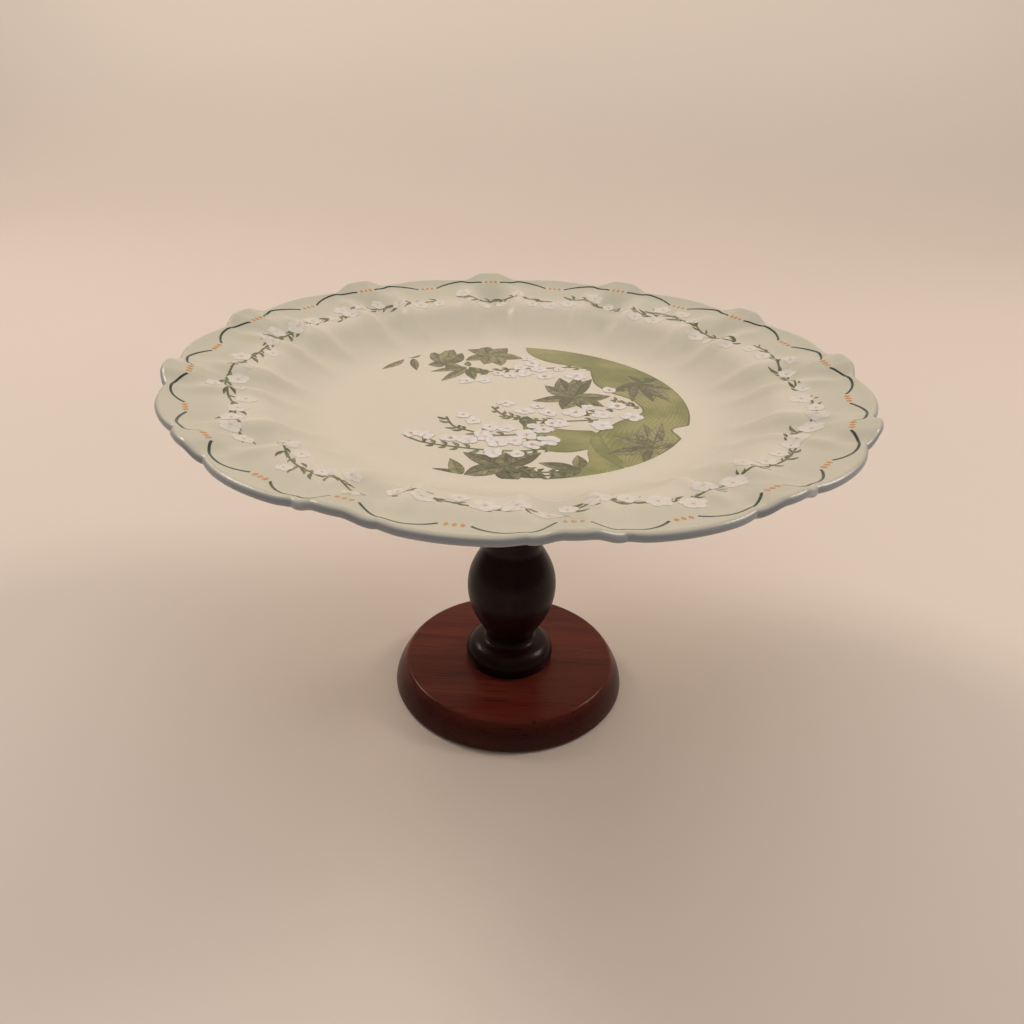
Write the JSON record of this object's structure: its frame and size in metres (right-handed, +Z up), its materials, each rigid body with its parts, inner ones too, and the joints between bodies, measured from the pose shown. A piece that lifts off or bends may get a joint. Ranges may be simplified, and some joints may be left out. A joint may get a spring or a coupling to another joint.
{
  "type": "cake stand",
  "caption": "Cake stand: a scalloped glazed plate with a shallow well, fixed on a turned wooden pedestal with a round foot.",
  "frame": {"origin": "on the table, at the middle of the felt pad's underside", "axes": "+Z up along the axis of the pedestal and plate; +Y away from the usual viewer; the narrow lobes of the rim stand 7.5 degrees past each 30 degree line"},
  "size_m": [0.2622, 0.2622, 0.1479],
  "materials": {
    "glazed_stoneware": "cream glaze, glossy, with a printed floral border and centre",
    "mahogany_stained_wood": "dark mahogany stain under satin lacquer",
    "ebony_stained_wood": "almost black brown stain under satin lacquer",
    "zinc_plated_steel": "bright zinc",
    "clear_adhesive": "translucent, cured",
    "black_felt": "pressed wool felt"
  },
  "bodies": {
    "root": {"plate": "glazed_stoneware", "adhesive_disc": "clear_adhesive", "mounting_disc": "ebony_stained_wood", "mounting_screw": "zinc_plated_steel", "column": "ebony_stained_wood", "base_disc": "mahogany_stained_wood", "base_screw": "zinc_plated_steel", "base_screw_washer": "zinc_plated_steel", "felt_pad": "black_felt"}
  },
  "joints": []
}
